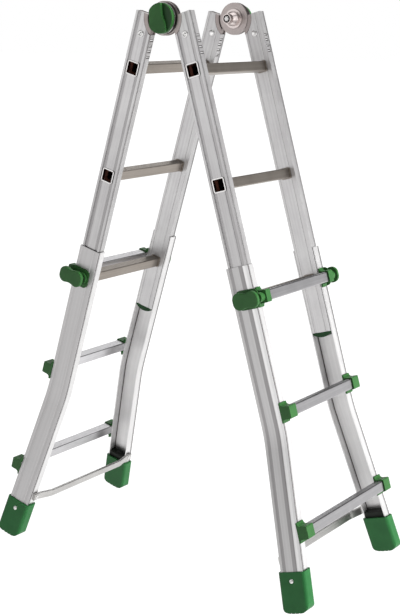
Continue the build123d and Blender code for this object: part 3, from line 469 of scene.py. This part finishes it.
rib_row = add(rib_tree, "GeometryNodeMeshLine", {
    "Count": rib_input["Count"],
    "Start Location": add(rib_tree, "ShaderNodeCombineXYZ", {0: rib_first.outputs[0]}).outputs[0],
    "Offset": add(rib_tree, "ShaderNodeCombineXYZ", {0: rib_input["Pitch"]}).outputs[0],
})
rib_set = add(rib_tree, "GeometryNodeInstanceOnPoints", {
    "Points": rib_row.outputs[0], "Instance": rib_bar.outputs[0],
})
rib_length = add(rib_tree, "GeometryNodeInputNamedAttribute", {
    "Name": "own_vector",
}, data_type="FLOAT_VECTOR")
rib_rows = add(rib_tree, "GeometryNodeInstanceOnPoints", {
    "Points": rib_input["Geometry"],
    "Instance": rib_set.outputs[0],
    "Rotation": add(rib_tree, "ShaderNodeCombineXYZ", {1: rib_input["Turn"]}).outputs[0],
    "Scale": rib_length.outputs[0],
})
close_tree(rib_tree, rib_rows.outputs[0], rib_input["Finish"])
rung_drops = {
    "inner": [first_rung + step * rung_pitch for step in range(3)],
    "outer": [first_rung + step * rung_pitch for step in range(2, 5)],
}
rib_halves = {"inner": (143.0, 143.0, 143.0), "outer": (143.0, 143.0, 186.0)}
for section_name, offset, finishes in (
    ("inner", stile_offset, {"a": rung_finish, "b": rung_finish}),
    ("outer", rung_offset, outer_rung_finish),
):
    for half in halves:
        ribs = grow(
            f"tread_ribs_{section_name}_{half}",
            rib_tree,
            [spot(half, offset, 0.0, drop - rung_size / 2 + RIB_SUNK) for drop in rung_drops[section_name]],
            [(1.0, length / MM, 1.0) for length in rib_halves[section_name]],
            {
                "Count": RIB_COUNT, "Pitch": RIB_PITCH / MM, "Radius": RIB_RADIUS / MM,
                "Turn": -halves[half] * lean, "Finish": finishes[half],
            },
        )
        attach(ribs, f"{section_name}_{half}")

# Outer stiles: extruded aluminium channels that the inner stiles slide in, bent outwards near the floor, so
# that their die lines turn with the bend. The narrow faces are nearly white to the eye; painted shade greys
# the web and the inside and draws a dark line along each corner, and a painted reflection lightens one lip.
bend_drop = 1033.0
BEND_SOFT = 41.0            # rounds the bend in the marks as its arc does in the metal
# painted shade bands on the web, from the centre line; half b's lie where its reflections are dark
web_shade_bands = {"a": ((-26.0, -12.0), (12.0, 26.0)), "b": ((-26.0, -12.0), (2.0, 18.0))}
lit_lip = {"a": 40.0, "b": 17.5}       # from the centre line; beyond this a painted reflection lightens the lip
# painted shade lines along the corners: from, to and darkness; from the middle
web_edge_lines = ((167.8, 169.2, 0.6), (170.4, 174.6, 0.95))
web_middle, web_face = 173.4, 174.7     # the grooves and the face lie beyond these, from the middle
channel_half = 29.0         # from the centre line to the middle of a flange
# share of painted shade inside the channels
INSIDE_SHADE = 0.2
# painted shade over the web face, lighter on half b, which is lit more
WEB_FACE_SHADING = {"a": 0.53, "b": 0.45}
WEB_BAND_SHADE = {"a": 0.58, "b": 0.73}       # painted shade in the bands; half b's are darker, as its light falls differently
flare = math.radians(10.5)


def bent_space(tree):
    """Ladder coordinates with the flare taken out of the sideways one, so that marks follow the bend."""
    place = add(tree, "ShaderNodeSeparateXYZ", {0: ladder_space(tree)})
    below = add(tree, "ShaderNodeMath", {0: -bend_drop, 1: place.outputs[2]}, operation="SUBTRACT")
    past_bend = add(tree, "ShaderNodeMath", {
        0: below.outputs[0], 1: 0.0, 2: BEND_SOFT,
    }, operation="SMOOTH_MAX")
    shift = add(tree, "ShaderNodeMath", {0: past_bend.outputs[0], 1: math.tan(flare)}, operation="MULTIPLY")
    straight = add(tree, "ShaderNodeMath", {0: place.outputs[1], 1: shift.outputs[0]}, operation="SUBTRACT")
    return add(tree, "ShaderNodeCombineXYZ", {
        0: place.outputs[0], 1: straight.outputs[0], 2: place.outputs[2],
    }).outputs[0]


def paint_channel_inside_shade(material):
    """Paints shade inside a channel, so that it is greyer than its outside."""
    tree = material.node_tree
    place = add(tree, "ShaderNodeSeparateXYZ", {0: bent_space(tree)})
    across = add(tree, "ShaderNodeMath", {0: place.outputs[0], 1: stile_offset}, operation="SUBTRACT")
    apart = add(tree, "ShaderNodeMath", {0: across.outputs[0]}, operation="ABSOLUTE")
    in_width = add(tree, "ShaderNodeMath", {0: apart.outputs[0], 1: channel_half}, operation="LESS_THAN")
    in_depth = add(tree, "ShaderNodeMath", {0: place.outputs[1], 1: web_middle}, operation="LESS_THAN")
    inside = add(tree, "ShaderNodeMath", {
        0: in_width.outputs[0], 1: in_depth.outputs[0],
    }, operation="MULTIPLY")
    film_and_shade = add(tree, "ShaderNodeMath", {0: inside.outputs[0], 1: INSIDE_SHADE}, operation="MULTIPLY")
    tint(material, film_and_shade.outputs[0], SHADE_AND_FILM_TONE)


for half in halves:
    channel_finish = drawn_aluminium(
        f"mill_aluminium_channel_{half}", bent_space, stile_lines, along_stile, ("#e6e5e5", "#f4f3f3"),
        roughness=(0.42, 0.52),
        grooves={
            "shade_bands": web_shade_bands[half], "edge_lines": web_edge_lines, "darkness": WEB_BAND_SHADE[half],
            "shade_start": web_middle, "face": web_face, "face_shading": WEB_FACE_SHADING[half],
            "lit_lip": lit_lip[half],
        },
    )
    paint_channel_inside_shade(channel_finish)
    dress(channel_finish, *[f"outer_stile_{half}_{side}" for side in sides])

# Stabiliser bars: aluminium flat bar, rolled smooth, joggled at its ends and riveted to the stiles just above
# the shoes. It shines more than the stiles and has marks along it.
bar_finish = drawn_aluminium(
    "aluminium_flat_bar", ladder_space, rung_lines, along_rung, ("#bfbdbb", "#d3d2d0"),
    roughness=(0.34, 0.44),
)
dress(bar_finish, *[f"stabiliser_bar_{half}" for half in halves])

# Green mouldings: rung caps, lock housings and handles, and below hinge knobs, end plugs and shoes, all of
# one polypropylene. Moulding gives it a satin skin with a fine grain and slow drifts of shade. The caps and
# the housings are pressed on the rungs' ends.
SKIN_GRAIN = 1.3        # drawn coarser than the real 0.3 mm so that it shows
FLOW = 34.0             # across a drift of shade
NOISE_MIDDLE = (0.3, 0.7)               # where a noise mostly lies
SKIN_BUMP, SKIN_DEPTH = 0.18, 0.0002    # how strongly the grain catches the light, and its depth in metres
MOULD_EDGE, MOULD_CREVICE = 0.0012, 0.006       # metres; rounded edges, and how far painted shade reaches in corners


def moulded_polypropylene(name, dark, light, roughness):
    """Satin moulded plastic."""
    material, tree, shader = new_material(name, dark)
    vector = ladder_space(tree)
    skin_grain_and_face_shade = grain(tree, vector, (SKIN_GRAIN,) * 3)
    flow = grain(tree, vector, (FLOW,) * 3, detail=4.0)
    edge = add(tree, "ShaderNodeBevel", {"Radius": MOULD_EDGE}, samples=4)
    bump = add(tree, "ShaderNodeBump", {
        "Height": skin_grain_and_face_shade, "Strength": SKIN_BUMP, "Distance": SKIN_DEPTH, "Normal": edge.outputs["Normal"],
    })
    drift = add(tree, "ShaderNodeMapRange", {
        "Value": flow, "From Min": NOISE_MIDDLE[0], "From Max": NOISE_MIDDLE[1],
    })
    tint(material, drift.outputs["Result"], light)
    # painted shade in gaps and inside corners
    tint(material, crevice_shade(tree, darkness=0.8, reach=MOULD_CREVICE), "#071208")
    rough = add(tree, "ShaderNodeMapRange", {
        "Value": skin_grain_and_face_shade, "From Min": NOISE_MIDDLE[0], "From Max": NOISE_MIDDLE[1],
        "To Min": roughness[0], "To Max": roughness[1],
    })
    tree.links.new(rough.outputs["Result"], shader.inputs["Roughness"])
    tree.links.new(bump.outputs["Normal"], shader.inputs["Normal"])
    shader.inputs["IOR"].default_value = 1.49
    shader.inputs["Specular IOR Level"].default_value = 0.22
    return material


corners = [f"{half}_{side}" for half in halves for side in sides]
green = moulded_polypropylene("green_polypropylene_satin", "#234b23", "#2a5429", roughness=(0.4, 0.52))
dress(green, *[f"rung_caps_{half}" for half in halves])
dress(green, *[f"lock_{moulding}_{corner}" for moulding in ("housing", "handle") for corner in corners])

# Hinge knobs: the same plastic, moulded with a recess for the fingers, on the rods of the hinge bolts.
# Painted shade darkens the floor of the recess.
knob_face = -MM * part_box("hinge_knob_front")[0][1]
recess_start, recess_end = 1.2, 12.0        # below the knob's face
recess_reach = 34.5                         # from the hinge axis
floor_slope = (0.75, 0.9)                   # how squarely the recess's walls and its floor face the hand
RECESS_SHADE = 0.65


def from_hinge(tree):
    """How far a place lies from the hinge axis, and from the middle of the ladder."""
    place = add(tree, "ShaderNodeSeparateXYZ", {0: ladder_space(tree)})
    flat = add(tree, "ShaderNodeCombineXYZ", {0: place.outputs[0], 2: place.outputs[2]})
    radius = add(tree, "ShaderNodeVectorMath", {0: flat.outputs[0]}, operation="LENGTH")
    return radius.outputs["Value"], place.outputs[1]


knob_green = moulded_polypropylene("green_polypropylene_knob", "#234c23", "#2a5529", roughness=(0.4, 0.52))
knob_tree = knob_green.node_tree
knob_radius, knob_aside = from_hinge(knob_tree)
knob_depth = add(knob_tree, "ShaderNodeMath", {0: knob_face, 1: knob_aside}, operation="SUBTRACT")
knob_surface = add(knob_tree, "ShaderNodeNewGeometry")
knob_way = add(knob_tree, "ShaderNodeSeparateXYZ", {0: knob_surface.outputs["Normal"]})
facing = add(knob_tree, "ShaderNodeMath", {0: knob_way.outputs[1]}, operation="ABSOLUTE")
recess = add(knob_tree, "ShaderNodeMapRange", {
    "Value": facing.outputs[0], "From Min": floor_slope[0], "From Max": floor_slope[1],
    "To Max": RECESS_SHADE,
}).outputs["Result"]
for limit in (
    within(knob_tree, knob_depth.outputs[0], recess_start, recess_end, soft=0.8),
    within(knob_tree, knob_radius, -1.0, recess_reach, soft=0.9),
):
    recess = add(knob_tree, "ShaderNodeMath", {0: recess, 1: limit}, operation="MULTIPLY").outputs[0]
# painted shade on the floor of the finger recess
tint(knob_green, recess, "#06200b")
dress(knob_green, *[f"hinge_knob_{side}" for side in sides])

# End plugs: the same plastic, moulded and pushed into the bottoms of the inner stiles. They are rougher than
# the rest, and painted a darker green as shade, because they sit inside the channels.
shaded_plug_green = moulded_polypropylene("green_polypropylene_shaded", "#14331a", "#1b4221", roughness=(0.5, 0.62))
dress(shaded_plug_green, *[f"inner_end_plugs_{half}" for half in halves])

# Shoes: the same plastic, moulded to fit round the stile ends and riveted through the web. The core that
# stands up inside the channel is painted nearly black, as the shade inside it.
core_start = 1346.9         # down the stile, just above the shoe's top
shoe_green = moulded_polypropylene("green_polypropylene_shoe", "#1b5027", "#21592d", roughness=(0.42, 0.54))
shoe_tree = shoe_green.node_tree
shoe_place = add(shoe_tree, "ShaderNodeSeparateXYZ", {0: ladder_space(shoe_tree)})
on_core = add(shoe_tree, "ShaderNodeMath", {
    0: shoe_place.outputs[2], 1: -core_start,
}, operation="GREATER_THAN")
# painted shade: the core inside the channel nearly black
tint(shoe_green, on_core.outputs[0], "#10150f")
dress(shoe_green, *[f"foot_{corner}" for corner in corners])

# Hinges: stamped and turned steel, welded and zinc plated, the arms riveted in the stiles' tops. Plating
# gives a warm grey, and turning leaves rings round the axis. Bolts and springs are bright steel.
RING = 1.6                  # across a ring; drawn coarser than real so that it shows
RING_BUMP, RING_DEPTH = 0.35, 0.0004    # how strongly the rings catch the light, and their depth in metres
HAND_MARK = 14.0            # across a smudge
cup_end = 152.4             # from the middle of the ladder; the cheeks lie beyond
cup_reach, disc_reach = 25.3, 41.3      # from the hinge axis; the cup's flange and the arms lie beyond
FLANGE_SHARE = 0.75         # how dull the flange is, as a share of the cheeks


def turned_zinc(name, dull, bright, roughness, cheeks=0.0):
    """Zinc plated steel with the rings of the lathe about the hinge axis; what is stamped is duller."""
    material, tree, shader = new_material(name, dull)
    radius, aside = from_hinge(tree)
    rings_at = add(tree, "ShaderNodeCombineXYZ", {0: radius})
    rings = grain(tree, rings_at.outputs[0], (RING, 1.0, 1.0), detail=3.0)
    smudges = grain(tree, ladder_space(tree), (HAND_MARK,) * 3, detail=4.0)
    edge = add(tree, "ShaderNodeBevel", {"Radius": ARRIS}, samples=4)
    bump = add(tree, "ShaderNodeBump", {
        "Height": rings, "Strength": RING_BUMP, "Distance": RING_DEPTH, "Normal": edge.outputs["Normal"],
    })
    worn = add(tree, "ShaderNodeMath", {0: rings, 1: smudges}, operation="ADD")
    clean = add(tree, "ShaderNodeMapRange", {
        "Value": worn.outputs[0], "From Min": SUM_MIDDLE[0], "From Max": SUM_MIDDLE[1],
    })
    tint(material, clean.outputs["Result"], bright)
    on_cheek = add(tree, "ShaderNodeMath", {0: aside, 1: cup_end}, operation="GREATER_THAN")
    on_arm = add(tree, "ShaderNodeMath", {0: radius, 1: disc_reach}, operation="GREATER_THAN")
    on_flange = add(tree, "ShaderNodeMath", {0: radius, 1: cup_reach}, operation="GREATER_THAN")
    flange = add(tree, "ShaderNodeMath", {0: on_flange.outputs[0], 1: FLANGE_SHARE}, operation="MULTIPLY")
    flat = add(tree, "ShaderNodeMath", {0: on_cheek.outputs[0], 1: on_arm.outputs[0]}, operation="MAXIMUM")
    stamped = add(tree, "ShaderNodeMath", {0: flat.outputs[0], 1: flange.outputs[0]}, operation="MAXIMUM")
    oxide = add(tree, "ShaderNodeMath", {0: stamped.outputs[0], 1: cheeks}, operation="MULTIPLY")
    tint(material, oxide.outputs[0], "#4a403e")
    # painted shade in gaps and inside corners
    tint(material, crevice_shade(tree, darkness=0.9), "#15100f")
    rough = add(tree, "ShaderNodeMapRange", {
        "Value": smudges, "From Min": NOISE_MIDDLE[0], "From Max": NOISE_MIDDLE[1],
        "To Min": roughness[0], "To Max": roughness[1],
    })
    tree.links.new(rough.outputs["Result"], shader.inputs["Roughness"])
    tree.links.new(bump.outputs["Normal"], shader.inputs["Normal"])
    shader.inputs["Metallic"].default_value = 1.0
    return material


zinc = turned_zinc("zinc_plated_steel_turned", "#bdb2b0", "#ebe1de", roughness=(0.28, 0.42), cheeks=0.6)
dress(zinc, *[f"hinge_{steel}_{side}" for steel in ("fork", "tongue") for side in sides])
bright_steel = turned_zinc("bright_steel_turned", "#b0adac", "#dcdad9", roughness=(0.2, 0.32))
dress(bright_steel, *[f"hinge_{steel}_{side}" for steel in ("bolt", "spring") for side in sides])
dress(bright_steel, *[f"lock_{steel}_{corner}" for steel in ("bolt", "spring") for corner in corners])

# Rivets: aluminium, upset cold, which leaves them bright. Blind rivets hold the shoes and the bars, with the
# snapped mandrel low in the middle of the head. The hinges have semi-tubular ones, rolled to a ring round a
# pit on the outside and domed on the inside.
RIVET_STEPS = 28
MOTTLE = 3.0            # across a mark of the setting tool
blind_head = [
    (0.0, 0.42), (0.22, 0.42), (0.25, 0.88), (0.36, 1.0), (0.62, 0.86), (0.88, 0.5), (1.0, 0.2), (1.0, 0.0),
]
rolled_head = [
    (0.0, 0.5), (0.3, 0.42), (0.38, 0.05), (0.54, 0.0), (0.6, 0.6), (0.72, 1.0), (0.86, 0.9), (1.0, 0.35),
    (1.0, 0.0),
]
domed_head = [(0.0, 1.0), (0.4, 0.95), (0.75, 0.7), (0.95, 0.35), (1.0, 0.0)]
inner_outer_face, inner_inner_face = 170.4, 148.0       # from the middle of the ladder
hinge_rivet_drop, hinge_rivet_radius, rolled_height, domed_height = 53.0, 8.2, 2.2, 2.2
shoe_rivet_drop, shoe_wall = 1368.0, 5.5
bar_drop, bar_seat, bar_rivet_inset = 1323.5, 13.0, 20.0
rivet_radius, rivet_height = 5.5, 2.4
outer_face = 175.0
rivet_finish, rivet_shading, rivet_shader = new_material("upset_aluminium", "#d5d4d3")
rivet_mottle = add(rivet_shading, "ShaderNodeMapRange", {
    "Value": grain(rivet_shading, ladder_space(rivet_shading), (MOTTLE,) * 3),
    "From Min": NOISE_MIDDLE[0], "From Max": NOISE_MIDDLE[1],
})
tint(rivet_finish, rivet_mottle.outputs["Result"], "#efeeed")
# painted shade in gaps and inside corners
tint(rivet_finish, crevice_shade(rivet_shading, darkness=0.95), "#191615")
rivet_shader.inputs["Metallic"].default_value = 1.0
rivet_shader.inputs["Roughness"].default_value = 0.3


def turned_head(name, outline):
    """A rivet head of radius 1 and height 1, spun from its outline."""
    solid = bmesh.new()
    outline_points = [solid.verts.new((radius, 0.0, height)) for radius, height in outline]
    line = [solid.edges.new(pair) for pair in zip(outline_points, outline_points[1:])]
    bmesh.ops.spin(
        solid, geom=outline_points + line, cent=(0, 0, 0), axis=(0, 0, 1), angle=math.tau,
        steps=RIVET_STEPS, use_merge=True,
    )
    bmesh.ops.remove_doubles(solid, verts=solid.verts, dist=1e-5)
    bmesh.ops.holes_fill(solid, edges=solid.edges)
    bmesh.ops.recalc_face_normals(solid, faces=solid.faces)
    shape = bpy.data.meshes.new(name)
    solid.to_mesh(shape)
    solid.free()
    return bpy.data.objects.new(name, shape)


rivet_tree, rivet_input = new_tree("rivet_heads", Head="Object", Radius="Float", Height="Float")
rivet_shape = add(rivet_tree, "GeometryNodeObjectInfo", {"Object": rivet_input["Head"]})
rivet_axis = add(rivet_tree, "GeometryNodeInputNamedAttribute", {
    "Name": "own_vector",
}, data_type="FLOAT_VECTOR")
rivet_turn = add(rivet_tree, "FunctionNodeAlignRotationToVector", {
    "Vector": rivet_axis.outputs[0],
}, axis="Z")
rivet_size = add(rivet_tree, "ShaderNodeCombineXYZ", {
    0: rivet_input["Radius"], 1: rivet_input["Radius"], 2: rivet_input["Height"],
})
rivet_set = add(rivet_tree, "GeometryNodeInstanceOnPoints", {
    "Points": rivet_input["Geometry"],
    "Instance": rivet_shape.outputs["Geometry"],
    "Rotation": rivet_turn.outputs[0],
    "Scale": rivet_size.outputs[0],
})
close_tree(rivet_tree, rivet_set.outputs[0], rivet_finish)
blind = turned_head("blind_head", blind_head)
rolled = turned_head("rolled_head", rolled_head)
domed = turned_head("domed_head", domed_head)


def flared(drop):
    """Middle of the ladder to the outer stile's web face, below the bend."""
    return outer_face + (drop - bend_drop) * math.tan(flare)


for half in halves:
    origin = spot(half, 0.0, 0.0, 0.0)
    outward = (spot(half, MM, 0.0, 0.0) - origin).normalized()
    downward = (spot(half, 0.0, 0.0, MM) - origin).normalized()
    shoe_places, shoe_axes, bar_places = [], [], []
    for reach in sides.values():
        shoe_axis = Vector((0, reach * math.cos(flare), 0)) - downward * math.sin(flare)
        shoe_face = spot(half, stile_offset, reach * flared(shoe_rivet_drop), shoe_rivet_drop)
        shoe_places.append(shoe_face + shoe_axis * shoe_wall / MM)
        shoe_axes.append(shoe_axis)
        bar_places.append(spot(half, bar_seat, reach * (flared(bar_drop) - bar_rivet_inset), bar_drop))
    heads = grow(
        f"blind_rivets_{half}", rivet_tree, shoe_places + bar_places, shoe_axes + [-outward, -outward],
        {"Head": blind, "Radius": rivet_radius / MM, "Height": rivet_height / MM},
    )
    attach(heads, f"outer_{half}")
    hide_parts(f"outer_rivets_{half}")
    for name, shape, face, way, height in (
        ("rolled", rolled, inner_outer_face, 1, rolled_height),
        ("domed", domed, inner_inner_face, -1, domed_height),
    ):
        heads = grow(
            f"hinge_rivets_{name}_{half}",
            rivet_tree,
            [spot(half, stile_offset, reach * face, hinge_rivet_drop) for reach in sides.values()],
            [(0, reach * way, 0) for reach in sides.values()],
            {"Head": shape, "Radius": hinge_rivet_radius / MM, "Height": height / MM},
        )
        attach(heads, f"inner_{half}")
        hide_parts(f"hinge_rivets_{half}")
for shape in (blind, rolled, domed):
    bpy.data.objects.remove(shape)

# Studio: a plain pale floor that glows a little, so that it is nearly white, a large soft box on the right
# with a fill that only dull surfaces see, one above, a weak one at the front that only shiny surfaces see,
# one at the back, and a dim room that is bright near the horizon.
floor_mesh = bpy.data.meshes.new("floor")
floor_reach = 40.0
floor_drop = 0.0004         # metres below the soles, so that the two don't flicker through each other
floor_corners = [
    (-floor_reach, -floor_reach, 0), (floor_reach, -floor_reach, 0),
    (floor_reach, floor_reach, 0), (-floor_reach, floor_reach, 0),
]
floor_mesh.from_pydata(floor_corners, [], [(0, 1, 2, 3)])
floor = bpy.data.objects.new("floor", floor_mesh)
floor.location.z = -floor_drop
bpy.context.scene.collection.objects.link(floor)
floor_material, _, floor_shader = new_material("pale_floor", "#3a3a39")
floor_shader.inputs["Roughness"].default_value = 0.9
floor_shader.inputs["Emission Color"].default_value = linear("#ffffff")
floor_shader.inputs["Emission Strength"].default_value = 1.1
floor_shader.inputs["Specular IOR Level"].default_value = 0.0
floor_mesh.materials.append(floor_material)


def soft_light(name, place, target, size, power, **seen_by):
    """A square soft box that faces a point; some light only the dull surfaces or only the shiny ones."""
    lamp = bpy.data.lights.new(name, "AREA")
    lamp.size = size
    lamp.energy = power
    light = bpy.data.objects.new(name, lamp)
    light.location = place
    light.visible_camera = False
    for surfaces, seen in seen_by.items():
        setattr(light, surfaces, seen)
    light.rotation_euler = (Vector(target) - Vector(place)).to_track_quat("-Z", "Y").to_euler()
    bpy.context.scene.collection.objects.link(light)


middle = (0.0, 0.0, 0.7)
soft_light("right_soft_box", (3.6, 0.4, 1.9), middle, size=4.0, power=65)
soft_light("right_fill", (3.6, 0.4, 1.9), middle, size=4.0, power=480, visible_glossy=False)
soft_light("top_soft_box", (0.0, 0.4, 4.2), middle, size=3.6, power=50)
soft_light("front_soft_box", (-2.6, -3.9, 1.5), middle, size=4.0, power=15, visible_diffuse=False)
soft_light("back_soft_box", (-2.0, 3.5, 2.9), middle, size=2.5, power=24)

world = bpy.data.worlds.new("dim_room")
world.use_nodes = True
bpy.context.scene.world = world
world_tree = world.node_tree
direction = add(world_tree, "ShaderNodeTexCoord")
sky = add(world_tree, "ShaderNodeSeparateXYZ", {0: direction.outputs["Generated"]})
room = add(world_tree, "ShaderNodeValToRGB", {"Fac": sky.outputs[2]})
room_levels = room.color_ramp.elements
room_levels[0].color = (1, 1, 1, 1)
for height, level in ((0.11, 1.0), (0.17, 0.16), (0.6, 0.16), (0.95, 0.4)):
    room_levels.new(height).color = (level, level, level, 1)
world_tree.links.new(room.outputs["Color"], world_tree.nodes["Background"].inputs["Color"])

# Camera: where the photograph was taken from, at the height of the hinge. Its axis meets the picture off the
# middle, which the shift gives.
PICTURE_WIDTH, PICTURE_HEIGHT = 400, 615
SENSOR = 36.0
focal_pixels = 1373.65
axis_pixel = (167.01, 277.56)
camera_data = bpy.data.cameras.new("camera")
camera_data.sensor_width = SENSOR
camera_data.lens = focal_pixels * SENSOR / PICTURE_HEIGHT
camera_data.shift_x = (PICTURE_WIDTH / 2 - axis_pixel[0]) / PICTURE_HEIGHT
camera_data.shift_y = (axis_pixel[1] - PICTURE_HEIGHT / 2) / PICTURE_HEIGHT
camera = bpy.data.objects.new("camera", camera_data)
yaw, pitch, roll = (math.radians(angle) for angle in (34.61, -10.64, 0.31))
camera.matrix_world = (
    Matrix.Translation((1.91092, -2.9149, hinge_height - 0.00276))
    @ Matrix.Rotation(yaw, 4, "Z")
    @ Matrix.Rotation(math.pi / 2 + pitch, 4, "X")
    @ Matrix.Rotation(roll, 4, "Z")
)
bpy.context.scene.collection.objects.link(camera)
bpy.context.scene.camera = camera
bpy.context.scene.view_settings.view_transform = "Standard"
